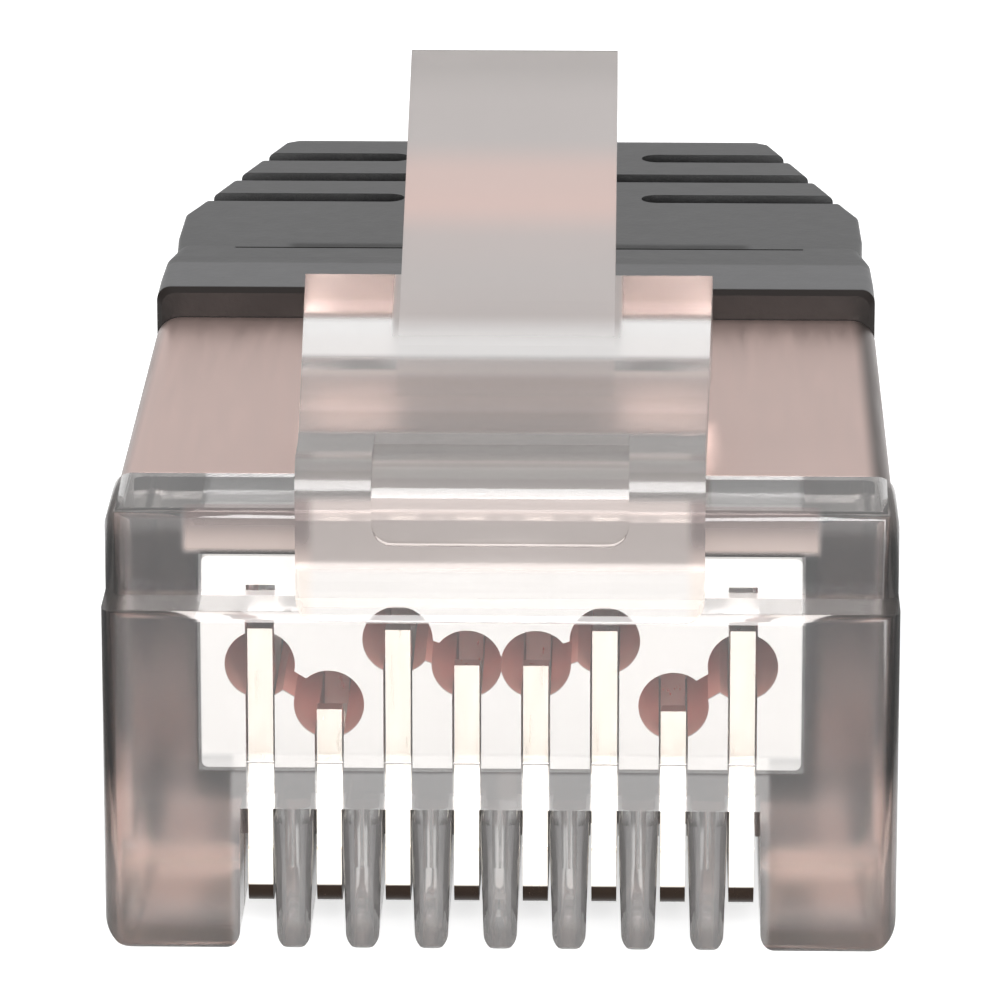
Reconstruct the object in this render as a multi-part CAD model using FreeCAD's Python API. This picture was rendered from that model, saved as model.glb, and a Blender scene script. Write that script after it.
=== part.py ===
import FreeCAD, Part
import math
import os

V = FreeCAD.Vector

# Shielded eight-way modular plug with a strain-relief boot.  Millimetres.
# X runs across the contacts, contact 1 at -X.  Y runs from the nose to the
# cable.  Z is up, with the latch on top and the underside at Z = 0.
# The shapes are drawn with the nose's lower face at Y = 0, and every piece is
# moved along Y at the end so that the origin is at the middle of the length.

# ---------------------------------------------------------------- plug body
BODY_WIDTH = 11.68
BODY_HEIGHT = 6.5
UNDERSIDE_RADIUS = 0.5        # long edges along the underside
TOP_EDGE_RADIUS = 0.3         # long edges along the top
NOSE_EDGE_RADIUS = 0.3        # upright edges of the nose
NOSE_LENGTH = 2.9             # bare plastic in front of the shield, on top
LEDGE_DEPTH = 0.9             # the nose's upper face stands back by this
LEDGE_HEIGHT = 5.2            # height of the ledge above the underside
FRONT_WALL = 1.3              # plastic in front of the wire manager

# ------------------------------------------------------- contacts and slots
CONTACT_COUNT = 8
PITCH = 1.016
CONTACT_THICKNESS = 0.37
CONTACT_FRONT = 0.6           # front edge behind the nose face
CONTACT_BOTTOM = 0.5          # mating edge above the underside
CONTACT_NOSE_RADIUS = 0.32
CONTACT_LENGTH = 5.2
CONTACT_BODY_TOP = 2.3        # solid part of the blade, below its two tines
TINE_WIDTH = 0.95
TINE_PITCH = 2.5
TIP_HEIGHTS = (4.68, 3.44, 4.67, 4.13)      # contacts 1 to 4, mirrored for 5 to 8
CONTACT_FIT = 0.02            # each side of the blade in its slit

SLOT_WIDTH_TOP = 0.52
SLOT_WIDTH_BOTTOM = 0.57
SLOT_HEIGHT_FRONT = 2.2       # ceiling of the open pockets at the nose
SLOT_HEIGHT_REAR = 1.4        # ceiling behind the pockets, under the web
POCKET_DEPTH = 1.25
SLOT_TAIL = 0.2               # open slot behind the contact
RIB_NOSE_RADIUS = 0.24

# ------------------------------------------------------------- wire manager
MANAGER_BOTTOM = 2.57
MANAGER_HEIGHT = 3.15
MANAGER_LENGTH = 5.6
MANAGER_MARGIN = 0.87         # from the outer contact's middle to the side
MANAGER_FIT = 0.04
WIRE_HOLE_RADIUS = 0.52
WIRE_HEIGHTS = (4.16, 3.55, 4.55, 4.18)     # holes 1 to 4, mirrored for 5 to 8
WIRE_LINK_WIDTH = 0.34        # openings that join neighbouring wire holes
OUTER_SLOT_TOP = 5.28         # the two outer blade slots run higher

# ------------------------------------------------------------- cable cavity
CAVITY_WALL = 0.77            # body side wall beside the cavity, inside the shield
CAVITY_FLOOR = 0.85
CAVITY_CEILING = 5.76

# ------------------------------------------------------------------- shield
SHEET = 0.25
SHIELD_INSET = 0.05           # shield's sides behind the nose's sides
SHIELD_FIT = 0.02
SHIELD_REAR = 12.1
SHIELD_FLOOR_GAP = 0.7        # the bottom panel starts this far behind the slots
SHIELD_SKIRT = 1.1            # lower edge of the side panels in front of it
SHIELD_SEAM = 0.3
WINDOW_LENGTH = 1.5
WINDOW_HEIGHT = 1.2
WINDOW_CENTRE = 8.2
WINDOW_FIT = 0.06
BARREL_LENGTH = 2.9

# --------------------------------------------------------------------- boot
CABLE_RADIUS = 2.65           # bore for the cable
BOOT_FIT = 0.03
COLLAR_INSET = 0.01           # collar's sides inside the shield's
COLLAR_RISE = 0.48            # collar above the shield
COLLAR_LENGTH = 3.1
BOOT_INSET = 0.11             # boot's sides inside the shield's
BOOT_RISE = 0.35              # body of the boot above the shield
BOOT_LENGTH = 11.1
BOOT_STRAIGHT = 5.6           # collar face to the start of the taper
BOOT_TAPER = 1.5             # each side draws in by this towards the end
COLLAR_EDGE_RADIUS = 0.22
BOOT_EDGE_RADIUS = 0.12
CREASE_WIDTH = 0.34
CREASE_DEPTH = 0.22
FLEX_SLOT_WIDTH = 0.58
FLEX_SLOT_DEPTH = 0.75
FLEX_SLOT_SHALLOW = 0.38      # over the middle, where the bore comes close
FLEX_SLOT_START = 6.75        # first slot behind the collar face
FLEX_SLOT_PITCH = 1.48
FLEX_SLOT_COUNT = 3
FLEX_SPINE = 2.3              # half width of the spine that two slots leave
BORE_FLARE = 0.3
SOLE_CUT = 0.03               # cut level along the underside, which the plug lies on

# -------------------------------------------------------------------- latch
PAD_WIDTH = 5.9
PAD_PROUD = 0.08              # pad in front of the nose face
PAD_DROP = 0.12               # pad below the ledge
PAD_CORNER = 0.35
HINGE_Y = 0.45
HINGE_DROP = 0.2              # hinge axis below the top of the body
HINGE_RADIUS = 0.36
HINGE_CLEARANCE = 0.04
NECK_REAR = 0.74
LATCH_WIDTH_ROOT = 5.96
LATCH_WIDTH_SHOULDER = 6.26
LATCH_CREST = 1.0             # top of the arched root above the body
LATCH_CREST_LENGTH = 1.6
LATCH_ARCH_RADIUS = 0.5
LATCH_SLOPE = 12.0            # degrees, arm and wings
SHOULDER_Y = 6.8
SHOULDER_HEIGHT = 1.65        # rear face that catches in the jack
HEEL_START = 4.62             # from here back the arm thickens to that height
ARM_THICKNESS = 0.76
ARM_BEND_RADIUS = 2.0         # rounding of the arm's gentle bends
TAB_WIDTH = 3.26
TAB_START = 5.0
TAB_SLOPE = 24.4              # degrees
TAB_LENGTH = 7.03             # along its slope
TAB_THICKNESS = 0.85
TAB_BEND_REACH = 2.1          # length of arm that the tab's bend may use
TAB_BEND_RADIUS = 9.0
RECESS_WIDTH = 3.74
RECESS_DEPTH = 0.16
RECESS_BOTTOM = 0.25          # below the top of the body

# ------------------------------------------------------------ derived sizes
HALF_BODY = BODY_WIDTH / 2
SHIELD_WIDTH = BODY_WIDTH - 2 * SHIELD_INSET
COLLAR_WIDTH = SHIELD_WIDTH - 2 * COLLAR_INSET
BOOT_WIDTH = SHIELD_WIDTH - 2 * BOOT_INSET
BOOT_END_WIDTH = BOOT_WIDTH - 2 * BOOT_TAPER
CAVITY_WIDTH = SHIELD_WIDTH - 2 * (SHEET + SHIELD_FIT + CAVITY_WALL)
MANAGER_FRONT = FRONT_WALL + MANAGER_FIT
MANAGER_REAR = MANAGER_FRONT + MANAGER_LENGTH
MANAGER_TOP = MANAGER_BOTTOM + MANAGER_HEIGHT
CONTACT_REAR = CONTACT_FRONT + CONTACT_LENGTH
SLOT_LENGTH = CONTACT_REAR + SLOT_TAIL
SHIELD_FLOOR_START = SLOT_LENGTH + SHIELD_FLOOR_GAP
CONTACT_SPAN = (CONTACT_COUNT - 1) * PITCH
CABLE_Z = (BODY_HEIGHT + BOOT_RISE) / 2
HOUSING_LENGTH = SHIELD_REAR - SHEET
HINGE_Z = BODY_HEIGHT - HINGE_DROP
PAD_BOTTOM = LEDGE_HEIGHT - PAD_DROP
CREST_Z = BODY_HEIGHT + LATCH_CREST
BOOT_FRONT = SHIELD_REAR + BOOT_FIT
BOOT_END = BOOT_FRONT + BOOT_LENGTH
COLLAR_TOP = BODY_HEIGHT + COLLAR_RISE
BOOT_TOP = BODY_HEIGHT + BOOT_RISE
MIDDLE_Y = (BOOT_END - PAD_PROUD) / 2
FAR = 40.0                    # reach of cutting shapes past the part


# ------------------------------------------------------------------ helpers
def point(a, b, plane, offset):
    if plane == "xy":
        return V(a, b, offset)
    if plane == "xz":
        return V(a, offset, b)
    return V(offset, a, b)


def corner(before, here, after, radius):
    """Start, middle and end of the arc that rounds one corner of an outline."""
    to_before = before - here
    to_after = after - here
    half = to_before.getAngle(to_after) / 2
    reach = min(radius / math.tan(half), 0.48 * to_before.Length, 0.48 * to_after.Length)
    start = here + V(to_before).normalize() * reach
    end = here + V(to_after).normalize() * reach
    bisector = (start + end) * 0.5 - here
    centre = here + V(bisector).normalize() * (reach / math.cos(half))
    middle = centre - V(bisector).normalize() * (reach * math.tan(half))
    return start, middle, end


def outline(points, plane, offset):
    """Closed wire through (a, b) or (a, b, radius) corners."""
    spots = [point(p[0], p[1], plane, offset) for p in points]
    radii = [p[2] if len(p) > 2 else 0.0 for p in points]
    count = len(spots)
    arcs = []
    for i in range(count):
        if radii[i] > 0:
            arcs.append(corner(spots[i - 1], spots[i], spots[(i + 1) % count], radii[i]))
        else:
            arcs.append((spots[i], None, spots[i]))
    edges = []
    for i in range(count):
        start, middle, end = arcs[i]
        if middle is not None:
            edges.append(Part.Arc(start, middle, end).toShape())
        following = arcs[(i + 1) % count][0]
        if (following - end).Length > 1e-6:
            edges.append(Part.LineSegment(end, following).toShape())
    return Part.Wire(edges)


def prism(points, plane, low, high):
    """Outline in one plane, extruded along the remaining axis."""
    along = {"xy": V(0, 0, 1), "xz": V(0, 1, 0), "yz": V(1, 0, 0)}[plane]
    return Part.Face(outline(points, plane, low)).extrude(along * (high - low))


def block(x0, x1, y0, y1, z0, z1):
    return Part.makeBox(x1 - x0, y1 - y0, z1 - z0, V(x0, y0, z0))


def rod(radius, centre, axis, length):
    return Part.makeCylinder(radius, length, V(*centre), V(*axis))


def section(width, bottom, top, low_radius, high_radius):
    """Corners of a rounded rectangle that is centred on X = 0."""
    half = width / 2
    return [(-half, bottom, low_radius), (half, bottom, low_radius),
            (half, top, high_radius), (-half, top, high_radius)]


def contact_x(index):
    return (index - (CONTACT_COUNT - 1) / 2) * PITCH


def mirrored(values, index):
    """Value of contact index 0 to 7 from the list for one half."""
    return values[min(index, CONTACT_COUNT - 1 - index)]


# ------------------------------------------------------------------ housing
def housing_envelope():
    """Outside of the plug body: stepped nose, rounded edges."""
    across = prism(section(BODY_WIDTH, 0, BODY_HEIGHT, UNDERSIDE_RADIUS, TOP_EDGE_RADIUS),
                   "xz", 0, HOUSING_LENGTH)
    profile = prism([(0, 0, 0.15), (HOUSING_LENGTH, 0), (HOUSING_LENGTH, BODY_HEIGHT),
                     (LEDGE_DEPTH, BODY_HEIGHT, 0.15), (LEDGE_DEPTH, LEDGE_HEIGHT, 0.1),
                     (0, LEDGE_HEIGHT, 0.1)], "yz", -FAR, FAR)
    plan = nose_plan(0, -1, LEDGE_HEIGHT).fuse(nose_plan(LEDGE_DEPTH, LEDGE_HEIGHT, BODY_HEIGHT + 1))
    return across.common(profile).common(plan)


def nose_plan(front, bottom, top):
    half = HALF_BODY
    return prism([(-half, front, NOSE_EDGE_RADIUS), (half, front, NOSE_EDGE_RADIUS),
                  (half, HOUSING_LENGTH), (-half, HOUSING_LENGTH)], "xy", bottom, top)


def bay(ceiling, length):
    """Opening under the nose that holds the contact slots."""
    top = (CONTACT_SPAN + SLOT_WIDTH_TOP) / 2
    low = (CONTACT_SPAN + SLOT_WIDTH_BOTTOM) / 2
    flare = 0.3
    return prism([(-low - flare - 1, -1), (low + flare + 1, -1), (low + flare + 1, 0),
                  (low, 0, flare), (top, ceiling), (-top, ceiling),
                  (-low, 0, flare), (-low - flare - 1, 0)], "xz", -1, length)


def rib(x):
    """Rib between two slots: full-round lower end and rounded front."""
    half_top = (PITCH - SLOT_WIDTH_TOP) / 2
    half_low = (PITCH - SLOT_WIDTH_BOTTOM) / 2
    top = SLOT_HEIGHT_FRONT + 0.1
    end = SLOT_LENGTH + 0.1
    across = prism([(x - half_low, 0, half_low * 0.96), (x + half_low, 0, half_low * 0.96),
                    (x + half_top, top), (x - half_top, top)], "xz", 0, end)
    plan = prism([(x - half_top, 0, RIB_NOSE_RADIUS), (x + half_top, 0, RIB_NOSE_RADIUS),
                  (x + half_top, end), (x - half_top, end)], "xy", 0, top)
    profile = prism([(0, 0, 0.25), (end, 0), (end, top), (0, top)], "yz", x - 1, x + 1)
    return across.common(plan).common(profile)


def shield_space():
    """What is cut from the body so that the shield sits flush on it."""
    start = NOSE_LENGTH
    outer = block(-FAR, FAR, start, FAR, -1, FAR)
    core = prism(section(SHIELD_WIDTH - 2 * SHEET - 2 * SHIELD_FIT, SHEET + SHIELD_FIT,
                         BODY_HEIGHT - SHEET - SHIELD_FIT, UNDERSIDE_RADIUS - SHEET,
                         TOP_EDGE_RADIUS - 0.1), "xz", start - 1, FAR)
    keep = block(-FAR, FAR, start - 1, SHIELD_FLOOR_START - SHIELD_FIT,
                 -1, SHIELD_SKIRT - SHIELD_FIT)
    return outer.cut(core).cut(keep)


def manager_cavity():
    half = CONTACT_SPAN / 2 + MANAGER_MARGIN + MANAGER_FIT
    return block(-half, half, FRONT_WALL, MANAGER_REAR + 1,
                 MANAGER_BOTTOM - MANAGER_FIT, MANAGER_TOP + MANAGER_FIT)


def cable_cavity():
    start = MANAGER_REAR + 0.08
    ramp = 0.4
    straight = prism(section(CAVITY_WIDTH, CAVITY_FLOOR, CAVITY_CEILING, 0.3, 0.3),
                     "xz", start + ramp, FAR)
    lead = prism([(start, MANAGER_BOTTOM), (start + ramp, CAVITY_FLOOR),
                  (start + ramp + 1, CAVITY_FLOOR), (start + ramp + 1, CAVITY_CEILING),
                  (start, CAVITY_CEILING)], "yz", -CAVITY_WIDTH / 2, CAVITY_WIDTH / 2)
    return straight.fuse(lead)


def pad():
    """Root pad that carries the latch on the ledge."""
    half = PAD_WIDTH / 2
    top = HINGE_Z - HINGE_CLEARANCE
    across = prism([(-half, PAD_BOTTOM, PAD_CORNER), (half, PAD_BOTTOM, PAD_CORNER),
                    (half, top), (-half, top)], "xz", -1, LEDGE_DEPTH + 0.2)
    profile = prism([(-PAD_PROUD, PAD_BOTTOM, 0.05), (LEDGE_DEPTH + 0.1, PAD_BOTTOM),
                     (LEDGE_DEPTH + 0.1, top), (-PAD_PROUD, top)], "yz", -FAR, FAR)
    return across.common(profile)


def latch_recess():
    """Shallow panel in the latch's front, with a small wall behind the crest."""
    floor_y = -PAD_PROUD + RECESS_DEPTH
    half = RECESS_WIDTH / 2
    across = prism([(-half, BODY_HEIGHT - RECESS_BOTTOM, 0.3),
                    (half, BODY_HEIGHT - RECESS_BOTTOM, 0.3),
                    (half, FAR), (-half, FAR)], "xz", -1, LATCH_CREST_LENGTH)
    profile = prism([(-1, 0), (floor_y, 0), (floor_y, CREST_Z - RECESS_DEPTH, LATCH_ARCH_RADIUS),
                     (LATCH_CREST_LENGTH - 0.05, CREST_Z - RECESS_DEPTH),
                     (LATCH_CREST_LENGTH - 0.05, FAR), (-1, FAR)], "yz", -FAR, FAR)
    return across.common(profile)


def lugs():
    """Lugs on both sides that snap into the shield's windows."""
    outer = SHIELD_WIDTH / 2 - 0.03
    inner = SHIELD_WIDTH / 2 - SHEET - SHIELD_FIT
    root = inner - 0.2
    y0 = WINDOW_CENTRE - WINDOW_LENGTH / 2 + WINDOW_FIT
    y1 = WINDOW_CENTRE + WINDOW_LENGTH / 2 - WINDOW_FIT
    z0 = CABLE_Z - WINDOW_HEIGHT / 2 + WINDOW_FIT
    z1 = CABLE_Z + WINDOW_HEIGHT / 2 - WINDOW_FIT
    ramp = [(root, y0), (inner, y0), (outer, y0 + 0.35), (outer, y1), (root, y1)]
    right = prism(ramp, "xy", z0, z1)
    left = prism([(-x, y) for x, y in ramp], "xy", z0, z1)
    return [left, right]


def housing():
    body = housing_envelope()
    body = body.cut(shield_space())
    body = body.cut(bay(SLOT_HEIGHT_FRONT, POCKET_DEPTH))
    body = body.cut(bay(SLOT_HEIGHT_REAR, SLOT_LENGTH))
    ribs = [rib((i - (CONTACT_COUNT - 2) / 2) * PITCH) for i in range(CONTACT_COUNT - 1)]
    body = body.fuse(ribs)
    body = body.cut(manager_cavity())
    body = body.cut(cable_cavity())
    half = CONTACT_THICKNESS / 2 + CONTACT_FIT
    slits = [block(contact_x(i) - half, contact_x(i) + half, POCKET_DEPTH - 0.1,
                   CONTACT_REAR + CONTACT_FIT, SLOT_HEIGHT_REAR - 0.2,
                   MANAGER_BOTTOM + 0.1) for i in range(CONTACT_COUNT)]
    body = body.cut(slits)
    body = body.fuse([pad()] + lugs())
    seat = rod(HINGE_RADIUS + HINGE_CLEARANCE, (-FAR, HINGE_Y, HINGE_Z), (1, 0, 0), 2 * FAR)
    body = body.cut(seat)
    return body.cut(latch_recess()).removeSplitter()


# -------------------------------------------------------------------- latch
def latch():
    slope = math.tan(math.radians(LATCH_SLOPE))
    thick = ARM_THICKNESS / math.cos(math.radians(LATCH_SLOPE))
    front = -PAD_PROUD
    base = HINGE_Z + HINGE_CLEARANCE
    top_end = CREST_Z + slope * (SHOULDER_Y - LATCH_CREST_LENGTH)
    under = CREST_Z - thick - slope * (LATCH_CREST_LENGTH - NECK_REAR - 0.3)
    heel = CREST_Z - thick + slope * (HEEL_START - LATCH_CREST_LENGTH)
    arm = prism([(front, base, 0.03), (NECK_REAR, base, 0.03), (NECK_REAR, under, 0.3),
                 (LATCH_CREST_LENGTH, CREST_Z - thick, ARM_BEND_RADIUS),
                 (HEEL_START, heel, ARM_BEND_RADIUS), (SHOULDER_Y, top_end - SHOULDER_HEIGHT, 0.06),
                 (SHOULDER_Y, top_end, 0.06),
                 (LATCH_CREST_LENGTH, CREST_Z, ARM_BEND_RADIUS), (front, CREST_Z, LATCH_ARCH_RADIUS)],
                "yz", -FAR, FAR)
    root = LATCH_WIDTH_ROOT / 2
    shoulder = LATCH_WIDTH_SHOULDER / 2
    plan = prism([(-root, -1), (root, -1), (root, 1), (shoulder, SHOULDER_Y, 0.1),
                  (-shoulder, SHOULDER_Y, 0.1), (-root, 1)], "xy", 0, FAR)
    arm = arm.common(plan)
    knuckle = rod(HINGE_RADIUS, (-PAD_WIDTH / 2, HINGE_Y, HINGE_Z), (1, 0, 0), PAD_WIDTH)
    return arm.fuse([tab(slope, thick), knuckle]).cut(latch_recess()).removeSplitter()


def tab(arm_slope, arm_thick):
    """Finger tab that bends up out of the arm."""
    angle = math.radians(TAB_SLOPE)
    rise = V(0, math.cos(angle), math.sin(angle))
    across = V(0, math.sin(angle), -math.cos(angle))
    start = V(0, TAB_START, CREST_Z + arm_slope * (TAB_START - LATCH_CREST_LENGTH))
    tip = start + rise * TAB_LENGTH
    under_tip = tip + across * TAB_THICKNESS
    under_start = start + across * TAB_THICKNESS
    root_y = TAB_START - TAB_BEND_REACH
    root_z = CREST_Z + arm_slope * (root_y - LATCH_CREST_LENGTH)
    half = TAB_WIDTH / 2
    return prism([(root_y, root_z - 0.02), (start.y, start.z, TAB_BEND_RADIUS), (tip.y, tip.z, 0.12),
                  (under_tip.y, under_tip.z, 0.12), (under_start.y, under_start.z),
                  (root_y, root_z - arm_thick + 0.02)], "yz", -half, half)


# ----------------------------------------------------------------- contacts
def contact(index):
    """Blade with a rounded mating corner and two piercing tines."""
    front = CONTACT_FRONT
    rear = CONTACT_REAR
    tip = mirrored(TIP_HEIGHTS, index)
    tine_front = MANAGER_FRONT + 0.1
    second = tine_front + TINE_PITCH
    step = front + 0.1
    points = [(front, CONTACT_BOTTOM, CONTACT_NOSE_RADIUS), (rear, CONTACT_BOTTOM, 0.4),
              (rear, CONTACT_BODY_TOP), (second + TINE_WIDTH, CONTACT_BODY_TOP),
              (second + TINE_WIDTH, tip - 0.7), (second + TINE_WIDTH / 2, tip), (second, tip - 0.7),
              (second, CONTACT_BODY_TOP), (tine_front + TINE_WIDTH, CONTACT_BODY_TOP),
              (tine_front + TINE_WIDTH, tip - 0.8), (tine_front + 0.3, tip), (tine_front, tip),
              (tine_front, SLOT_HEIGHT_FRONT - 0.05), (step, SLOT_HEIGHT_FRONT - 0.05, 0.1),
              (step, SLOT_HEIGHT_REAR), (front, SLOT_HEIGHT_REAR - 0.03)]
    x = contact_x(index)
    return prism(points, "yz", x - CONTACT_THICKNESS / 2, x + CONTACT_THICKNESS / 2)


# ------------------------------------------------------------- wire manager
def link(x0, z0, x1, z1):
    """Opening between two neighbouring wire holes."""
    run = V(x1 - x0, 0, z1 - z0)
    side = V(-run.z, 0, run.x).normalize() * (WIRE_LINK_WIDTH / 2)
    corners = [(x0 + side.x, z0 + side.z), (x1 + side.x, z1 + side.z),
               (x1 - side.x, z1 - side.z), (x0 - side.x, z0 - side.z)]
    return prism(corners, "xz", MANAGER_FRONT - 1, MANAGER_REAR + 1)


def wire_manager():
    width = CONTACT_SPAN + 2 * MANAGER_MARGIN
    body = prism(section(width, MANAGER_BOTTOM, MANAGER_TOP, 0.1, 0.1), "xz",
                 MANAGER_FRONT, MANAGER_REAR)
    cuts = []
    half = CONTACT_THICKNESS / 2 + CONTACT_FIT + 0.01
    for i in range(CONTACT_COUNT):
        x = contact_x(i)
        z = mirrored(WIRE_HEIGHTS, i)
        cuts.append(rod(WIRE_HOLE_RADIUS, (x, MANAGER_FRONT - 1, z), (0, 1, 0), MANAGER_LENGTH + 2))
        top = mirrored(TIP_HEIGHTS, i) + 0.05
        if i in (0, CONTACT_COUNT - 1):
            top = OUTER_SLOT_TOP
        cuts.append(block(x - half, x + half, MANAGER_FRONT - 1, CONTACT_REAR + 0.05, 0, top))
    for i in (0, 2, 4, 6):
        cuts.append(link(contact_x(i), mirrored(WIRE_HEIGHTS, i),
                         contact_x(i + 1), mirrored(WIRE_HEIGHTS, i + 1)))
    return body.cut(cuts).removeSplitter()


# ------------------------------------------------------------------- shield
def shield():
    """Folded sheet sleeve with an end wall and a rolled crimp barrel."""
    start = NOSE_LENGTH + SHIELD_FIT
    outer = prism(section(SHIELD_WIDTH, 0.02, BODY_HEIGHT, UNDERSIDE_RADIUS, TOP_EDGE_RADIUS + 0.1),
                  "xz", start, SHIELD_REAR)
    inner = prism(section(SHIELD_WIDTH - 2 * SHEET, SHEET, BODY_HEIGHT - SHEET,
                          UNDERSIDE_RADIUS - SHEET, TOP_EDGE_RADIUS + 0.1 - SHEET),
                  "xz", start - 1, SHIELD_REAR - SHEET + SHIELD_FIT)
    front_cut = block(-FAR, FAR, start - 1, SHIELD_FLOOR_START, -1, SHIELD_SKIRT)
    sleeve = outer.cut(inner).cut(front_cut)
    barrel = rod(CABLE_RADIUS + SHEET, (0, SHIELD_REAR - SHEET / 2, CABLE_Z), (0, 1, 0),
                 BARREL_LENGTH + SHEET / 2)
    body = sleeve.fuse(barrel)
    hole = rod(CABLE_RADIUS, (0, 0, CABLE_Z), (0, 1, 0), FAR)
    seam = block(-SHIELD_SEAM / 2, SHIELD_SEAM / 2, start - 1, FAR, -1, CABLE_Z - 2)
    windows = block(-FAR, FAR, WINDOW_CENTRE - WINDOW_LENGTH / 2, WINDOW_CENTRE + WINDOW_LENGTH / 2,
                    CABLE_Z - WINDOW_HEIGHT / 2, CABLE_Z + WINDOW_HEIGHT / 2)
    return body.cut([hole, seam, windows]).removeSplitter()


# --------------------------------------------------------------------- boot
def boot_station(y, width, top, radius, shrink=0.0):
    """Cross-section of the boot at one place along its length."""
    bottom = shrink - SOLE_CUT
    return outline(section(width - 2 * shrink, bottom, top - shrink, radius, radius), "xz", y)


def boot_width_at(y):
    """Width of the tapered body at a distance behind the collar face."""
    share = (y - BOOT_STRAIGHT) / (BOOT_LENGTH - BOOT_STRAIGHT)
    return BOOT_WIDTH + (BOOT_END_WIDTH - BOOT_WIDTH) * share


def boot_body():
    f = BOOT_FRONT
    mid = BOOT_STRAIGHT + 0.6
    soft, tight = COLLAR_EDGE_RADIUS, BOOT_EDGE_RADIUS
    collar = Part.makeLoft([
        boot_station(f, COLLAR_WIDTH, COLLAR_TOP, soft, 0.08),
        boot_station(f + 0.08, COLLAR_WIDTH, COLLAR_TOP, soft),
        boot_station(f + 0.35 * COLLAR_LENGTH, COLLAR_WIDTH, COLLAR_TOP, soft),
        boot_station(f + 0.7 * COLLAR_LENGTH, (COLLAR_WIDTH * 5 + BOOT_WIDTH) / 6, COLLAR_TOP - 0.02, soft),
        boot_station(f + COLLAR_LENGTH, BOOT_WIDTH - 0.08, BOOT_TOP + 0.06, soft)], True, True)
    body = Part.makeLoft([
        boot_station(f + COLLAR_LENGTH, BOOT_WIDTH - 0.08, BOOT_TOP, tight),
        boot_station(f + COLLAR_LENGTH + 1.0, BOOT_WIDTH, BOOT_TOP, tight),
        boot_station(f + BOOT_STRAIGHT, BOOT_WIDTH - 0.04, BOOT_TOP, tight),
        boot_station(f + mid, boot_width_at(mid) - 0.06, BOOT_TOP, tight),
        boot_station(f + BOOT_LENGTH - 0.3, boot_width_at(BOOT_LENGTH - 0.3), BOOT_TOP, tight),
        boot_station(f + BOOT_LENGTH - 0.08, boot_width_at(BOOT_LENGTH) - 0.12, BOOT_TOP, tight, 0.02),
        boot_station(f + BOOT_LENGTH, boot_width_at(BOOT_LENGTH) - 0.24, BOOT_TOP, tight, 0.1)], True, True)
    return collar.fuse(body)


def flex_slot(y, width, across_top):
    """One strain-relief slot: round the sides, and over the top or past a spine."""
    half = FLEX_SLOT_WIDTH / 2
    side = width / 2 - FLEX_SLOT_DEPTH
    low = FLEX_SLOT_DEPTH + 0.6
    cuts = []
    for sign in (-1, 1):
        x0, x1 = sorted((sign * side, sign * FAR))
        cuts.append(block(x0, x1, y - half, y + half, low, FAR))
        inner = sign * FLEX_SPINE
        plan = [(inner - sign * half, y - half, half * 0.98), (sign * FAR, y - half),
                (sign * FAR, y + half), (inner - sign * half, y + half, half * 0.98)]
        cuts.append(prism(plan, "xy", BOOT_TOP - FLEX_SLOT_DEPTH, FAR))
        if not across_top:
            cuts.append(prism(plan, "xy", -1, FLEX_SLOT_DEPTH))
            cuts.append(block(x0, x1, y - half, y + half, -1, low + 0.1))
    if across_top:
        cuts.append(block(-FAR, FAR, y - half, y + half, BOOT_TOP - FLEX_SLOT_SHALLOW, FAR))
    return cuts


def boot():
    body = boot_body()
    crease_y = BOOT_FRONT + COLLAR_LENGTH
    cuts = [block(-BOOT_WIDTH / 2 + 1.0, BOOT_WIDTH / 2 - 1.0, crease_y - CREASE_WIDTH / 2,
                  crease_y + CREASE_WIDTH / 2, BOOT_TOP - CREASE_DEPTH, FAR),
            block(-FAR, FAR, 0, FAR, -1, 0)]
    pocket_end = SHIELD_REAR + BARREL_LENGTH + 0.1
    cuts.append(rod(CABLE_RADIUS + SHEET + 0.08, (0, 0, CABLE_Z), (0, 1, 0), pocket_end))
    cuts.append(rod(CABLE_RADIUS, (0, 0, CABLE_Z), (0, 1, 0), FAR))
    cuts.append(Part.makeCone(CABLE_RADIUS, CABLE_RADIUS + BORE_FLARE, BORE_FLARE,
                              V(0, BOOT_END - BORE_FLARE, CABLE_Z), V(0, 1, 0)))
    for k in range(FLEX_SLOT_COUNT):
        along = FLEX_SLOT_START + k * FLEX_SLOT_PITCH
        cuts += flex_slot(BOOT_FRONT + along, boot_width_at(along), k % 2 == 1)
    return body.cut(cuts).removeSplitter()


# ------------------------------------------------------------------- export
def write(name, shape):
    shape = shape.copy()
    shape.translate(V(0, -MIDDLE_Y, 0))
    if shape.ShapeType == "Compound" and len(shape.Solids) == 1:
        shape = shape.Solids[0]
    shape.exportStep("parts/" + name + ".step")
    box = shape.BoundBox
    print("%-14s solids %d valid %s vol %8.3f  x %.2f %.2f  y %.2f %.2f  z %.2f %.2f" % (
        name, len(shape.Solids), shape.isValid(), shape.Volume,
        box.XMin, box.XMax, box.YMin, box.YMax, box.ZMin, box.ZMax))


os.makedirs("parts", exist_ok=True)
write("housing", housing())
write("latch", latch())
write("wire_manager", wire_manager())
for n in range(CONTACT_COUNT):
    write("contact_%d" % (n + 1), contact(n))
write("shield", shield())
write("boot", boot())
print("hinge axis at y %.3f z %.3f" % (HINGE_Y - MIDDLE_Y, HINGE_Z))
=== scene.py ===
import math

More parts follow.
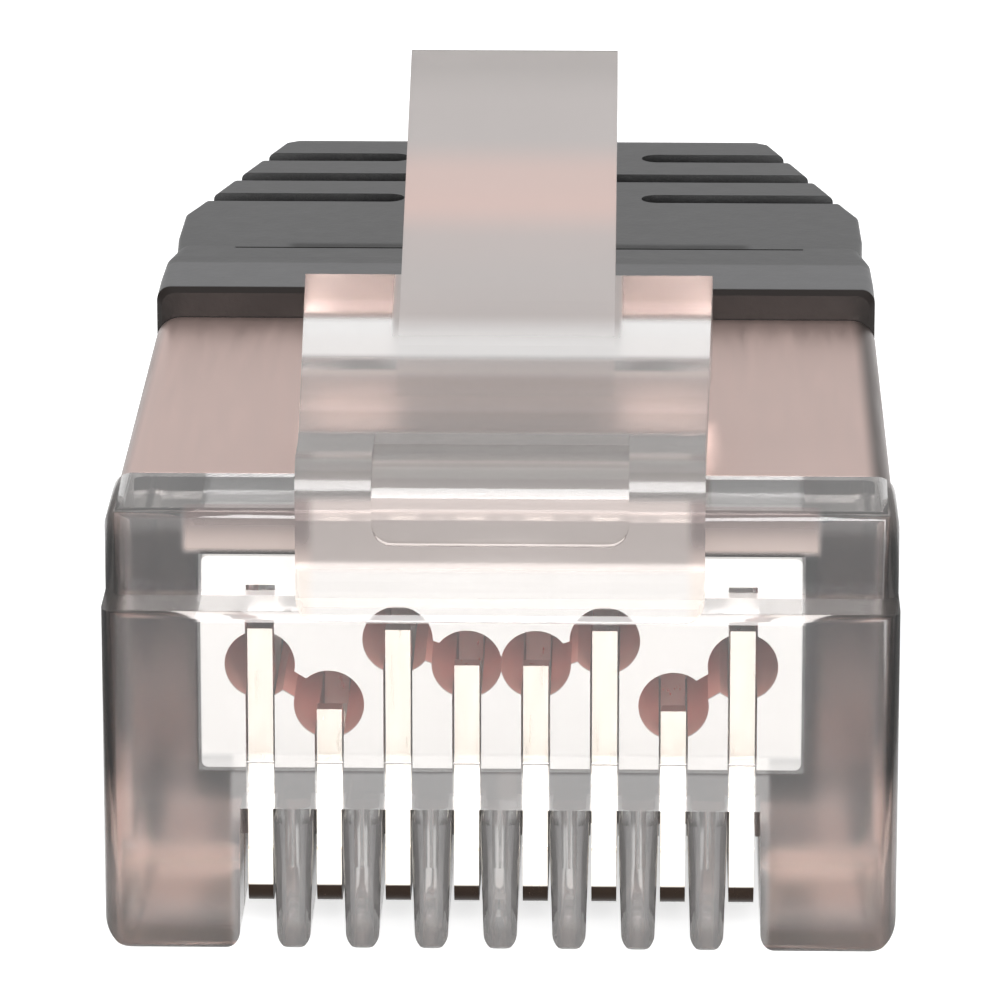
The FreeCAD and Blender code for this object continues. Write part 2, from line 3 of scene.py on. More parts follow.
import bmesh
import bpy
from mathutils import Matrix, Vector

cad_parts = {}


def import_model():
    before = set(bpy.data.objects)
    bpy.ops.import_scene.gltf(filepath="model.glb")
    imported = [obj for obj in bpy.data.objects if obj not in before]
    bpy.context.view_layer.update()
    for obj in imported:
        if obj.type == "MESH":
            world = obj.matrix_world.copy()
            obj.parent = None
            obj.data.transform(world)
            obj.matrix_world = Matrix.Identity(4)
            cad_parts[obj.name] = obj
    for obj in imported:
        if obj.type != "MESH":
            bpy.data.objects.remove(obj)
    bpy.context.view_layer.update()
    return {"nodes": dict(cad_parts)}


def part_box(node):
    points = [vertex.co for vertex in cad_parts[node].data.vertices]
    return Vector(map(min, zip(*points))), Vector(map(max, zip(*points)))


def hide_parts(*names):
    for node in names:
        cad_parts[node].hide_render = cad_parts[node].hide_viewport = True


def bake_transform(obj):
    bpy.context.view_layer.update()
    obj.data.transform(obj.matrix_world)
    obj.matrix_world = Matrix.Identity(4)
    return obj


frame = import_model()

# Looks of the shielded modular plug.  Sizes are in millimetres, measured from
# the nose: X across the contacts, Y back from the nose face, Z up from the
# underside.  place() turns such a point into the shared frame, in metres.
MM = 0.001
PAD_PROUD = 0.08
NOSE_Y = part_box("housing")[0].y + PAD_PROUD * MM
BODY_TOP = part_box("shield")[1].z / MM
BOOT_FRONT = (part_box("boot")[0].y - NOSE_Y) / MM
CONTACT_COUNT = 8
PITCH = 1.016
SHY = 0.006                   # keeps joined faces from lying in one plane

# ---------------------------------------------------------------- latch sizes
LEDGE_DEPTH = 0.9
PAD_BOTTOM = 5.08
PAD_WIDTH = 5.9
PAD_EDGE = 0.08               # rounding of the pad's lower front edge
PAD_CORNER = 0.35             # rounding of its two lower corners
PAD_LOWER = 0.01              # its outline ends this far below its lower edge
PAD_FLARE = 0.1               # each side leans out by this on the way up
ROOT_WIDTH = 5.96
ROOT_INSIDE = 0.12            # the root reaches this far in behind the ledge
ROOT_DROP = 0.1               # its hidden rear edge, below the body's top
ROOT_STEP = 0.04              # its upper edge, below the body's top
WIDENS_FROM = 1.0             # here the arm starts to widen towards its shoulders
WIDENS_PAST = 0.2             # and this far past them the widening would end
SHOULDER_WIDTH = (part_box("latch")[1].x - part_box("latch")[0].x) / MM
SHOULDER_Y = 6.8
SHOULDER_HEIGHT = 1.65
SHOULDER_EDGE = 0.06
HEEL_START = 4.62             # from here back the arm thickens into its heel
CREST = BODY_TOP + 1.0
CREST_LENGTH = 1.6
ARCH_RADIUS = 0.5
NECK_REAR = 0.74
NECK_RUN = 0.3                # level part of the arch's underside, behind the neck
NECK_BACK, NECK_UP = 0.06, 0.02        # from there to the corner under the arch
NECK_EDGE = 0.04
ARM_THICKNESS = 0.76
ARM_ANGLE = math.radians(12.0)
ARM_SLOPE = math.tan(ARM_ANGLE)
ARM_BEND = 2.0                # radius of the arm's gentle bends
TAB_WIDTH = 3.26
TAB_START = 5.0
TAB_SLOPE = math.radians(24.4)
TAB_LENGTH = 7.03
TAB_THICKNESS = 0.85
TAB_BEND = 9.0                # radius where the tab rises from the arm
TAB_EDGE = 0.12
TAB_INSIDE = 2.1              # the tab starts this far forward, inside the arm
TAB_SINK = 0.02               # and stays this far inside the arm's faces there
RECESS_WIDTH = 3.74
RECESS_DEPTH = 0.16
RECESS_BOTTOM = 0.25          # below the body's top
RECESS_CORNER = 0.3
RECESS_SHORT = 0.05           # ends this far in front of the crest's rear end

# ----------------------------------------------------------------- rib sizes
RIB_COUNT = CONTACT_COUNT - 1
RIB_LENGTH = 6.1
RIB_SECTION = (               # half width, height and rounding of the corners
    (0.24, SHY, 0.235), (0.262, 0.75, 0.5), (0.29, 1.5, 0.5), (0.29, 1.95))
RIB_FRONT, RIB_FRONT_ROUND = 0.3, 0.285        # half width, rounding
RIB_FOOT_ROUND = 0.15
CUT_HALF, CUT_TOP = 3.8, 1.3  # space that is cleared of the solid's own ribs
CUT_SHORT = 0.12              # and ends this far in front of the ribs' rear end

# ------------------------------------------------------------- mesh building
ARC_STEPS = 6                 # flats in a rounded corner
FINE_STEPS = 10               # in the arm's and the ribs' corners
ROUND_STEPS = 12              # in a rib's round front
AHEAD, FAR_AHEAD = -1.0, -2.0          # where cutting shapes start, outside the piece
ABOVE_RIB = 3.0
ASIDE, FAR_ASIDE = 8.0, 10.0  # half widths of shapes that reach past both sides
BEYOND = 20.0                 # above and behind every piece
SAME_POINT = 1e-7             # metres
ONE_FACE = 0.3                # degrees; faces that turn less become one
CRISP = 35.0                  # degrees; edges that turn more stay crisp
WIDE_FACE = 0.3               # faces wider than this are shaded truly flat
ARC_SHARE = 0.48              # an arc takes up at most this share of a side

# -------------------------------------------------------------------- camera
CAMERA_AZIMUTH = 1.18         # degrees round from straight in front
CAMERA_ELEVATION = 16.0
CAMERA_DISTANCE = 109.06      # mm from the nose's lower edge
AIM_ABOVE = 6.67              # mm from that edge up the picture to its centre
SENSOR = 36.0                 # mm
LENS = 266.0                  # mm
CLIP_START, CLIP_END = 0.005, 10.0     # metres

# ---------------------------------------------------------- light and stage
LAMPS = (                     # name, place and aim, width and height in metres, watts
    ("overhead", (0, 0.05, 0.35), (0, 0, 0), 0.45, 0.35, 0.45),
    ("front", (0.03, -0.40, 0.16), (0, 0, 0.004), 0.26, 0.26, 2.2))
FLOOR_HALF, FLOOR_Z = 3.0, -0.00002    # metres
FLOOR_PAINT = (0.80, 0.80, 0.80, 1)
FLOOR_GLOW = dict(base=0.0, camera=0.60, glossy=0.45, transmission=0.10)
SKY_GLOW = dict(base=0.40, camera=0.60, glossy=0.15, transmission=0.10)

# ---------------------------------------------------- looks of the moulding
# Most zones lay painted light and shade over the moulding's own colour.
# Zones of the clear moulding: the width of the soft border inside the limits,
# and the limits along each axis.  None leaves a side open.
ZONES = dict(
    # the wall before the wires, and the ribs with the web over them, where the ribs get a
    # painted highlight down their middles and painted shade on their sides and feet
    window=dict(soft=0.12, x=(-4.5, 4.5), y=(None, 2.0), z=(2.72, 5.93)),
    comb=dict(soft=0.1, x=(-4.0, 4.0), y=(None, 3.0), z=(None, 2.85)),
    below_web=dict(soft=0.15, z=(None, 2.1)),
    # the latch's root pad, whose side edges get a painted peach reflection, and the same width
    # without its side edges
    pad=dict(soft=0.04, x=(-3.1, 3.1), y=(None, 0.0), z=(5.0, 6.0)),
    pad_middle=dict(soft=0.2, x=(-2.86, 2.86)),
    # the nose over the window, with painted pink light that turns to painted shade at its top,
    # then its top edge, with painted shade
    brow=dict(soft=0.14, x=(-4.74, 4.74), y=(None, 1.3), z=(5.8, 7.05)),
    brow_top=dict(soft=0.55, z=(5.92, None)),
    crown=dict(soft=0.14, y=(None, 3.0), z=(6.38, 7.15)),
    crown_middle=dict(soft=0.3, x=(-4.9, 4.9)),
    # the latch's crest with painted shade, its arm behind that, the heel in it with a painted
    # highlight band, and the wings with painted shade
    crest=dict(soft=0.3, y=(None, 3.6), z=(6.9, 8.2)),
    crest_rear=dict(soft=0.5, y=(1.8, 3.6), z=(7.4, None)),
    satin=dict(soft=0.8, y=(3.0, None), z=(7.0, None)),
    heel=dict(soft=0.3, y=(3.85, 5.4), z=(7.4, None)),
    wings=dict(soft=0.25, y=(5.1, None), z=(7.4, None)),
    # the finger tab, with a painted warm reflection of the shield as a band across it, and
    # darker towards its tip
    tab_wide=dict(soft=0.1, x=(-1.78, 1.78), z=(7.0, None)),
    tab_long=dict(soft=1.0, y=(4.3, None)),
    tab_flush=dict(soft=0.9, y=(6.9, 9.3)),
    tab_tip=dict(soft=1.0, y=(10.0, None)),
    # the nose as a whole, its outer walls left out by the second (they get painted shade), and
    # bands by height that carry painted light and shade
    sides=dict(soft=0.2, y=(None, 3.0), z=(None, 6.3)),
    inner=dict(soft=0.24, x=(-5.66, 5.66)),
    high=dict(soft=0.7, z=(2.2, 6.6)),
    rim=dict(soft=0.06, z=(5.08, 5.3)),
    ledge=dict(soft=0.02, z=(5.05, 5.22)),
    warm=dict(soft=0.5, z=(0.45, 1.9)),
    foot=dict(soft=0.35, z=(None, 0.6)))
# The painted shade on a rib's sides fades in between these distances.
RIB_SIDE_FROM, RIB_SIDE_TO = 0.06, 0.19        # from a rib's middle plane outwards
CLEAR = ((0.92, 0.90, 0.89), (0.87, 0.86, 0.855))      # the flow marks mix the two
# Painted shade high up on the nose's walls.
HIGH_PAINTED_SHADE = (0.48, 0.49, 0.50)
# Painted pink light line along the nose's sides at the ledge's height.
RIM_PAINTED_LIGHT_LINE = (0.84, 0.76, 0.74)
# Painted warm light low down on the nose's sides.
WARM_PAINTED_LIGHT = (0.84, 0.69, 0.63)
# Painted shade at the nose's foot.
FOOT_PAINTED_SHADE = (0.34, 0.32, 0.30)
# Painted shade on the nose's outer walls, darker high up.
OUTER_WALL_PAINTED_SHADE, OUTER_WALL_PAINTED_SHADE_HIGH = (0.70, 0.60, 0.56), (0.12, 0.117, 0.115)
# Painted highlight down each rib's middle, painted shade on its sides and its foot.
RIB_PAINTED_HIGHLIGHT, RIB_SIDE_PAINTED_SHADE = (0.98, 0.965, 0.955), (0.60, 0.58, 0.575)
COMB_FOOT_PAINTED_SHADE = (0.60, 0.58, 0.57)
# Painted highlight along the ledge in front of the wires.
LEDGE_PAINTED_HIGHLIGHT = (1.0, 0.94, 0.915)
# Painted peach reflection on the pad's side edges.
PAD_SIDE_PAINTED_REFLECTION = (0.90, 0.79, 0.71)
# Painted shade on the latch's crest, darker at its rear.
CREST_PAINTED_SHADE, CREST_REAR_PAINTED_SHADE = (0.72, 0.695, 0.68), (0.60, 0.555, 0.535)
# Painted shade on the nose's top edge.
CROWN_PAINTED_SHADE, CROWN_MIDDLE_PAINTED_SHADE = (0.74, 0.72, 0.71), (0.60, 0.585, 0.58)
# Painted pink light on the nose over the window, turning to painted shade at its top.
BROW_PAINTED_LIGHT, BROW_TOP_PAINTED_SHADE = (1.0, 0.82, 0.75), (0.42, 0.345, 0.335)
BROW_MIDDLE_PAINTED_LIGHT = (0.78, 0.69, 0.655)
# Painted shade on the wings.
WING_PAINTED_SHADE = (0.45, 0.365, 0.335)
# Painted highlight band on the heel.
HEEL_PAINTED_HIGHLIGHT = (1.0, 0.99, 0.985)
TAB = ((0.44, 0.405, 0.395), (0.41, 0.38, 0.37))       # the flow marks mix the two
# Painted warm reflection of the shield as a band across the tab.
TAB_PAINTED_REFLECTION = (0.56, 0.425, 0.39)
TAB_TIP_TINT = (0.36, 0.335, 0.325)
# The first number holds outside all zones.  Each zone overrules those before it.
ROUGHNESS = 0.06
ROUGHNESS_IN = (("sides", 0.22), ("comb", 0.10), ("crest", 0.22), ("satin", 0.24),
                ("tab", 0.35), ("window", 0.025))
TRANSMISSION = 0.88
TRANSMISSION_IN = (("sides", 0.93), ("warm", 0.88), ("comb", 0.80), ("brow", 0.66),
                   ("heel", 0.54), ("tab", 0.36), ("window", 0.992), ("strip", 0.62))
CLEAR_IOR = 1.58
SHADOW_TINT = (0.93, 0.925, 0.92, 1)   # one wall lets this much light pass straight
SMOKE, SMOKE_DENSITY = (0.50, 0.48, 0.47, 1), 150.0    # density per metre

# -------------------------------------------------- looks of the other pieces
PLASTIC_IOR, PLASTIC_SPECULAR = 1.5, 0.2
WHITE = ((0.90, 0.895, 0.885), (0.94, 0.94, 0.935))
WHITE_ROUGHNESS = (0.42, 0.55)
# Painted warm light down in the wire holes, with painted shade near their top.
HOLE_PAINT_ZONE = dict(soft=0.03, x=(-4.35, 4.35), y=(1.37, None), z=(2.6, 5.68))
HOLE_TOP_PAINT_ZONE = dict(soft=0.05, z=(4.98, None))
HOLE_PAINTED_WARM_LIGHT, HOLE_TOP_PAINTED_SHADE = (1.0, 0.50, 0.42), (0.22, 0.05, 0.035)

GOLD = ((0.98, 0.91, 0.81), (1.0, 0.96, 0.90))
GOLD_ROUGHNESS = (0.22, 0.38)
# Painted shade on the blades' lower edges.
BLADE_FOOT_SHADE_ZONE = dict(soft=0.03, z=(None, 0.84))
BLADE_FOOT_PAINTED_SHADE = (0.04, 0.028, 0.022)

NICKEL = ((0.84, 0.645, 0.592), (0.90, 0.69, 0.635))
NICKEL_ROUGHNESS = (0.30, 0.44)
# Painted dark reflection on the shield's rounded upper edges, outside these limits.
SHIELD_TOP = dict(soft=0.25, x=(-5.8, 5.62))
SHIELD_SIDES = dict(soft=0.1, z=(None, BODY_TOP - 0.3))
SHIELD_EDGE_PAINTED_REFLECTION = (0.17, 0.135, 0.125)

RUBBER = ((0.102, 0.102, 0.103), (0.115, 0.115, 0.116))
RUBBER_ROUGHNESS = (0.38, 0.5)
# Painted shade in the boot's slots and creases, laid in by ambient occlusion.
SHELTER_REACH = 0.0009        # metres
SHELTERED, OPEN_AIR = 0.6, 0.98
SLOT_PAINTED_SHADE = (0.003, 0.003, 0.003)
BOOT_PAINTED_LIGHT_AND_SHADE = (               # collar with painted light, fold behind it and front lip with painted shade: zone and colour
    (dict(soft=0.1, y=(None, BOOT_FRONT + 1.8)), (0.145, 0.145, 0.148)),
    (dict(soft=0.25, x=(-3.9, 3.9), y=(BOOT_FRONT + 3.0, BOOT_FRONT + 3.65),
          z=(BODY_TOP - 0.2, None)), (0.04, 0.04, 0.04)),
    (dict(soft=0.08, y=(None, BOOT_FRONT + 0.16)), (0.012, 0.009, 0.008)))


def place(x, y, z):
    return Vector((x * MM, NOSE_Y + y * MM, z * MM))


# ------------------------------------------------------------- mesh building
def rounded(corners, steps):
    """Closed outline through (a, b) or (a, b, radius) corners, arcs as points."""
    spots = [Vector(c[:2]) for c in corners]
    radii = [c[2] if len(c) > 2 else 0.0 for c in corners]
    path = []
    for i, here in enumerate(spots):
        if radii[i] <= 0:
            path.append(here)
            continue
        before = spots[i - 1] - here
        after = spots[(i + 1) % len(spots)] - here
        half = before.angle(after) / 2
        reach = min(radii[i] / math.tan(half), ARC_SHARE * before.length,
                    ARC_SHARE * after.length)
        radius = reach * math.tan(half)
        middle = (before.normalized() + after.normalized()).normalized()
        centre = here + middle * (radius / math.sin(half))
        start = here + before.normalized() * reach - centre
        turn = start.angle_signed(here + after.normalized() * reach - centre)
        for k in range(steps + 1):
            angle = -turn * k / steps
            c, s = math.cos(angle), math.sin(angle)
            path.append(centre + Vector((start.x * c - start.y * s,
                                         start.x * s + start.y * c)))
    return path


def symmetric(half, middle=0.0):
    """Whole outline from its right half, whose widths count from the middle."""
    right = [(middle + a, *rest) for a, *rest in half]
    left = [(middle - a, *rest) for a, *rest in half]
    return left[:1] + right + left[:0:-1]


def prism(name, corners, plane, low, high, steps=ARC_STEPS):
    """Solid with that outline in one plane, from low to high on the third axis."""
    spread = {"xy": lambda a, b, c: (a, b, c), "xz": lambda a, b, c: (a, c, b),
              "yz": lambda a, b, c: (c, a, b)}[plane]
    path = rounded(corners, steps)
    mesh = bmesh.new()
    ends = [[mesh.verts.new(place(*spread(p.x, p.y, level))) for p in path]
            for level in (low, high)]
    mesh.faces.new(ends[0])
    mesh.faces.new(ends[1])
    for i in range(len(path)):
        j = (i + 1) % len(path)
        mesh.faces.new((ends[0][i], ends[0][j], ends[1][j], ends[1][i]))
    bmesh.ops.recalc_face_normals(mesh, faces=mesh.faces)
    return from_bmesh(name, mesh)


def from_bmesh(name, mesh):
    data = bpy.data.meshes.new(name)
    mesh.to_mesh(data)
    mesh.free()
    obj = bpy.data.objects.new(name, data)
    bpy.context.scene.collection.objects.link(obj)
    return obj


def settle(obj):
    """Applies every modifier."""
    graph = bpy.context.evaluated_depsgraph_get()
    data = bpy.data.meshes.new_from_object(obj.evaluated_get(graph))
    obj.modifiers.clear()
    obj.data = data


def boolean(obj, operation, *tools):
    for tool in tools:
        change = obj.modifiers.new(operation, "BOOLEAN")
        change.operation = operation
        change.solver = "EXACT"
        change.object = tool
        settle(obj)
        bpy.data.objects.remove(tool)
    return obj


def shade(obj):
    """Smooth shading that keeps wide faces truly flat up to their rounded edges."""
    crisp = math.radians(CRISP)
    mesh = bmesh.new()
    mesh.from_mesh(obj.data)
    bmesh.ops.dissolve_limit(mesh, angle_limit=math.radians(ONE_FACE), verts=mesh.verts,
                             edges=mesh.edges)
    mesh.to_mesh(obj.data)
    mesh.free()
    data = obj.data
    data.shade_smooth()
    data.set_sharp_from_angle(angle=crisp)
    normals = [corner.vector.copy() for corner in data.corner_normals]
    flat = {}
    for face in data.polygons:
        spots = [data.vertices[v].co for v in face.vertices]
        longest = max((p - q).length for p, q in zip(spots, spots[1:] + spots[:1]))
        if face.area / longest > WIDE_FACE * MM:
            for v in face.vertices:
                flat.setdefault(v, []).append(face.normal.copy())
            for corner in face.loop_indices:
                normals[corner] = face.normal.copy()
    for face in data.polygons:
        for corner, v in zip(face.loop_indices, face.vertices):
            near = [n for n in flat.get(v, []) if n.angle(face.normal) < crisp]
            if near:
                normals[corner] = min(near, key=lambda n: n.angle(face.normal))
    data.normals_split_custom_set(normals)


# ------------------------------------------------------------ clear moulding
def latch_solid():
    """Latch with its root pad, arched root, wings and finger tab, as one solid."""
    front = -PAD_PROUD
    thick = ARM_THICKNESS / math.cos(ARM_ANGLE)
    end_top = CREST + ARM_SLOPE * (SHOULDER_Y - CREST_LENGTH)
    under = CREST - thick - ARM_SLOPE * (CREST_LENGTH - NECK_REAR - NECK_RUN)
    heel = CREST - thick + ARM_SLOPE * (HEEL_START - CREST_LENGTH)
    inside = LEDGE_DEPTH + ROOT_INSIDE
    arm = prism("latch_arm", [
        (front, PAD_BOTTOM, PAD_EDGE), (inside, PAD_BOTTOM), (inside, BODY_TOP - ROOT_DROP),
        (LEDGE_DEPTH, BODY_TOP - ROOT_STEP),
        (NECK_REAR + NECK_BACK, under + NECK_UP, NECK_EDGE),
        (CREST_LENGTH, CREST - thick, ARM_BEND), (HEEL_START, heel, ARM_BEND),
        (SHOULDER_Y, end_top - SHOULDER_HEIGHT, SHOULDER_EDGE),
        (SHOULDER_Y, end_top, SHOULDER_EDGE), (CREST_LENGTH, CREST, ARM_BEND),
        (front, CREST, ARCH_RADIUS)], "yz", -FAR_ASIDE, FAR_ASIDE, FINE_STEPS)
    plan = prism("latch_plan", symmetric([
        (ROOT_WIDTH / 2, AHEAD), (ROOT_WIDTH / 2, WIDENS_FROM),
        (SHOULDER_WIDTH / 2, SHOULDER_Y + WIDENS_PAST)]), "xy", 0, BEYOND)
    half = PAD_WIDTH / 2
    face = prism("latch_face", symmetric([
        (half, PAD_BOTTOM - PAD_LOWER, PAD_CORNER), (half + PAD_FLARE, BODY_TOP),
        (ASIDE, BODY_TOP), (ASIDE, BEYOND)]), "xz", FAR_AHEAD, BEYOND)
    boolean(arm, "INTERSECT", plan, face)
    boolean(arm, "UNION", finger_tab(thick))
    return boolean(arm, "DIFFERENCE", recess())


def finger_tab(arm_thick):
    rise = Vector((math.cos(TAB_SLOPE), math.sin(TAB_SLOPE)))
    across = Vector((rise.y, -rise.x))
    start = Vector((TAB_START, CREST + ARM_SLOPE * (TAB_START - CREST_LENGTH)))
    tip = start + rise * TAB_LENGTH
    under_tip = tip + across * TAB_THICKNESS
    under_start = start + across * TAB_THICKNESS
    root_y = TAB_START - TAB_INSIDE
    root_z = CREST + ARM_SLOPE * (root_y - CREST_LENGTH)
    return prism("latch_tab", [
        (root_y, root_z - TAB_SINK), (start.x, start.y, TAB_BEND), (tip.x, tip.y, TAB_EDGE),
        (under_tip.x, under_tip.y, TAB_EDGE), (under_start.x, under_start.y),
        (root_y, root_z - arm_thick + TAB_SINK)], "yz", -TAB_WIDTH / 2, TAB_WIDTH / 2)


def recess():
    """Shallow panel in the latch's front and over its crest."""
    floor_y = -PAD_PROUD + RECESS_DEPTH
    floor_z = CREST - RECESS_DEPTH
    end = CREST_LENGTH - RECESS_SHORT
    half = RECESS_WIDTH / 2
    across = prism("recess", symmetric([
        (half, BODY_TOP - RECESS_BOTTOM, RECESS_CORNER), (half, BEYOND)]),
        "xz", AHEAD, CREST_LENGTH)
    profile = prism("recess_profile", [
        (AHEAD, 0), (floor_y, 0), (floor_y, floor_z, ARCH_RADIUS), (end, floor_z),
        (end, BEYOND), (AHEAD, BEYOND)], "yz", -FAR_ASIDE, FAR_ASIDE, FINE_STEPS)
    return boolean(across, "INTERSECT", profile)


def rib(x):
    """One rib between two contact slots, with a round front and a round lower end."""
    shape = prism("rib", symmetric(RIB_SECTION, x), "xz", AHEAD, RIB_LENGTH, FINE_STEPS)
    plan = prism("rib_plan", symmetric([
        (RIB_FRONT, SHY, RIB_FRONT_ROUND), (RIB_FRONT, RIB_LENGTH - AHEAD)], x),
        "xy", AHEAD, ABOVE_RIB, ROUND_STEPS)
    side = prism("rib_side", [
        (SHY, SHY / 2, RIB_FOOT_ROUND), (ASIDE, SHY / 2), (ASIDE, ABOVE_RIB),
        (SHY, ABOVE_RIB)], "yz", -ASIDE, ASIDE)
    return boolean(shape, "INTERSECT", plan, side)


def moulding():
    """Housing and latch as the one moulding that they are."""
    body = frame["nodes"]["housing"].copy()
    body.data = body.data.copy()
    body.parent = None
    body.name = "clear_moulding"
    for key in [k for k in body.keys() if k.startswith("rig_")]:
        del body[key]
    bpy.context.scene.collection.objects.link(body)
    mesh = bmesh.new()
    mesh.from_mesh(body.data)
    bmesh.ops.remove_doubles(mesh, verts=mesh.verts, dist=SAME_POINT)
    mesh.to_mesh(body.data)
    mesh.free()
    body.data.materials.clear()
    cut = prism("rib_cut", symmetric([(CUT_HALF, AHEAD), (CUT_HALF, CUT_TOP)]),
                "xz", AHEAD, RIB_LENGTH - CUT_SHORT)
    boolean(body, "DIFFERENCE", cut)
    boolean(body, "UNION", latch_solid())
    boolean(body, "UNION", *[rib((i - (RIB_COUNT - 1) / 2) * PITCH) for i in range(RIB_COUNT)])
    shade(body)
    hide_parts("housing", "latch")
    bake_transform(body)
    return body


# ----------------------------------------------------------------- materials
class Nodes:
    """Short way to build a node material."""

    def __init__(self, name):
        self.material = bpy.data.materials.new(name)
        self.material.use_nodes = True
        self.tree = self.material.node_tree
        self.tree.nodes.clear()
        self.out = self.add("ShaderNodeOutputMaterial")
        self.axes = None

    def add(self, kind, **values):
        """New node; names with set_ before them are its properties, the others its inputs."""
        node = self.tree.nodes.new(kind)
        for key, value in values.items():
            if key.startswith("set_"):
                setattr(node, key.removeprefix("set_"), value)
            else:
                node.inputs[key.replace("_", " ")].default_value = value
        return node

    def link(self, source, target):
        self.tree.links.new(source, target)

    def noise(self, scale, detail=2.0, roughness=0.5, stretch=(1, 1, 1)):
        """Noise in the object's own metres; scale is in features per metre."""
        spot = self.add("ShaderNodeTexCoord")
        mapping = self.add("ShaderNodeMapping", Scale=stretch)
        self.link(spot.outputs["Object"], mapping.inputs["Vector"])
        noise = self.add("ShaderNodeTexNoise", Scale=scale, Detail=detail, Roughness=roughness)
        self.link(mapping.outputs["Vector"], noise.inputs["Vector"])
        return noise.outputs["Fac"]

    def between(self, factor, low, high, start=0.0, end=1.0):
        """Goes from low to high while factor goes from start to end."""
        ramp = self.add("ShaderNodeMapRange", From_Min=start, From_Max=end, To_Min=low,
                        To_Max=high)
        self.link(factor, ramp.inputs["Value"])
        return ramp.outputs["Result"]

    def mix(self, data_type, factor, first, second):
        node = self.add("ShaderNodeMix", set_data_type=data_type)
        for name, source in (("Factor", factor), ("A", first), ("B", second)):
            if isinstance(source, tuple):
                node.inputs[name].default_value = (*source, 1)
            elif isinstance(source, float):
                node.inputs[name].default_value = source
            else:
                self.link(source, node.inputs[name])
        return node.outputs["Result"]

    def blend(self, factor, first, second):
        """The number first where factor is 0, second where it is 1."""
        return self.mix("FLOAT", factor, first, second)

    def tint(self, factor, first, second):
        """The colour first where factor is 0, second where it is 1."""
        return self.mix("RGBA", factor, first, second)

    def times(self, first, second):
        both = self.add("ShaderNodeMath", set_operation="MULTIPLY")
        self.link(first, both.inputs[0])
        self.link(second, both.inputs[1])
        return both.outputs[0]

    def axis(self, name):
        """The object's own x, y or z, in metres."""
        if self.axes is None:
            spot = self.add("ShaderNodeTexCoord")
            self.axes = self.add("ShaderNodeSeparateXYZ")
            self.link(spot.outputs["Object"], self.axes.inputs[0])
        return self.axes.outputs[name.upper()]

    def within(self, soft, **sides):
        """1 inside the x, y and z limits, 0 outside, with soft borders on their inner side."""
        total = None
        for name, (low, high) in sides.items():
            shift = NOSE_Y if name == "y" else 0.0
            for limit, way in ((low, 1), (high, -1)):
                if limit is None:
                    continue
                step = self.add("ShaderNodeMapRange", set_interpolation_type="SMOOTHSTEP",
                                From_Min=shift + limit * MM,
                                From_Max=shift + (limit + way * soft) * MM)
                self.link(self.axis(name), step.inputs["Value"])
                side = step.outputs["Result"]
                total = side if total is None else self.times(total, side)
        return total

    def flanks(self, pitch, start, end):
        """0 along the middle of every rib, 1 at its sides."""
        wave = self.add("ShaderNodeMath", set_operation="PINGPONG")
        self.link(self.axis("x"), wave.inputs[0])
        wave.inputs[1].default_value = pitch / 2 * MM
        return self.between(wave.outputs[0], 0.0, 1.0, start * MM, end * MM)

    def bump(self, height, strength, distance):
        bump = self.add("ShaderNodeBump", Strength=strength, Distance=distance)
        self.link(height, bump.inputs["Height"])
        return bump.outputs["Normal"]

    def surface(self, shader, **inputs):
        """Links the inputs and puts the shader on the surface; returns the material."""
        for name, source in inputs.items():
            self.link(source, shader.inputs[name.replace("_", " ")])
        self.link(shader.outputs[0], self.out.inputs["Surface"])
        return self.material


def moulding_colour(n, zone, flow):
    """Layers of painted light and shade over the moulding's own colour, each over the ones
    before it.
    """
    plain = n.tint(flow, *CLEAR)
    # Painted shade high up, then painted bands of light and shade by height.
    colour = n.tint(zone["high"], plain, HIGH_PAINTED_SHADE)
    for name, paint in (("rim", RIM_PAINTED_LIGHT_LINE), ("warm", WARM_PAINTED_LIGHT), ("foot", FOOT_PAINTED_SHADE)):
        colour = n.tint(zone[name], colour, paint)
    # Painted shade on the nose's outer walls.
    colour = n.tint(zone["inner"], n.tint(zone["high"], OUTER_WALL_PAINTED_SHADE, OUTER_WALL_PAINTED_SHADE_HIGH), colour)
    # Painted highlight down the ribs' middles, painted shade on their sides.
    rib_highlight_and_shade = n.tint(zone["rib_sides"], RIB_PAINTED_HIGHLIGHT, RIB_SIDE_PAINTED_SHADE)
    brow = n.tint(zone["brow_top"], BROW_PAINTED_LIGHT, BROW_TOP_PAINTED_SHADE)
    finger = n.tint(zone["tab_flush"], n.tint(flow, *TAB), TAB_PAINTED_REFLECTION)
    for name, paint in (
            ("comb", n.tint(zone["foot"], rib_highlight_and_shade, COMB_FOOT_PAINTED_SHADE)),
            ("window", plain),
            ("strip", LEDGE_PAINTED_HIGHLIGHT),
            ("pad", n.tint(zone["pad_middle"], PAD_SIDE_PAINTED_REFLECTION, plain)),
            ("crest", n.tint(zone["crest_rear"], CREST_PAINTED_SHADE, CREST_REAR_PAINTED_SHADE)),
            ("crown", n.tint(zone["crown_middle"], CROWN_PAINTED_SHADE, CROWN_MIDDLE_PAINTED_SHADE)),
            ("brow", n.tint(zone["pad_middle"], brow, BROW_MIDDLE_PAINTED_LIGHT)),
            ("wings", WING_PAINTED_SHADE),
            ("heel", HEEL_PAINTED_HIGHLIGHT),
            ("tab", n.tint(zone["tab_tip"], finger, TAB_TIP_TINT))):
        colour = n.tint(zone[name], colour, paint)
    return colour


